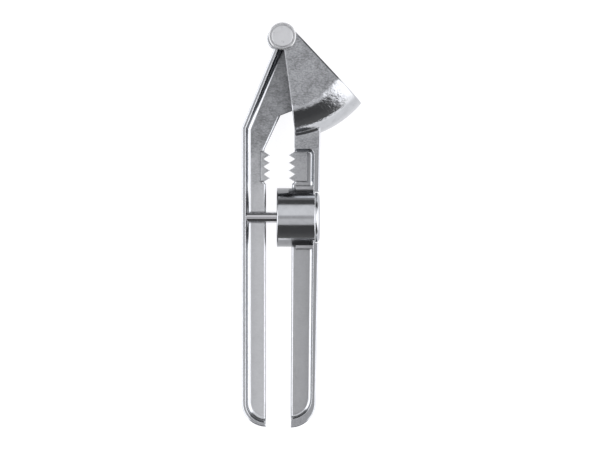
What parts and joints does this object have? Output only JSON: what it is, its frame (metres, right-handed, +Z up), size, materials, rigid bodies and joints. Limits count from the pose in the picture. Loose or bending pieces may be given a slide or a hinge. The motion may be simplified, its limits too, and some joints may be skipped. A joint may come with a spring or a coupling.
{
  "type": "garlic press",
  "caption": "Hand garlic press with a hinged sieve chamber, toothed nutcracker jaws and a cherry pitter between its handles.",
  "frame": {"origin": "middle of the press's outline, on the plane of the chamber's rear cheek that it lies on", "axes": "+Z up out of the front cheek, along the rivet; +Y along the handles towards the hinge; +X across the handles towards the chamber"},
  "size_m": [0.0516, 0.1748, 0.0347],
  "materials": {
    "cast_arm": "die cast, outer faces polished, webs left as cast",
    "sieve": "satin sheet",
    "rivet": "satin, turned head",
    "washer": "polished",
    "pin": "ground and polished steel"
  },
  "bodies": {
    "chamber": {"chamber_arm": "cast_arm", "sieve_plate": "sieve", "hinge_rivet": "rivet", "hinge_washer": "washer"},
    "plunger": {"plunger_arm": "cast_arm", "pitter_pin": "pin"}
  },
  "joints": [
    {"name": "arm_hinge", "type": "hinge", "parent": "chamber", "child": "plunger", "pos_m": [-0.00821, 0.08145, 0.0165], "axis": [0, 0, 1], "range_deg": [-245, 2.7]}
  ]
}
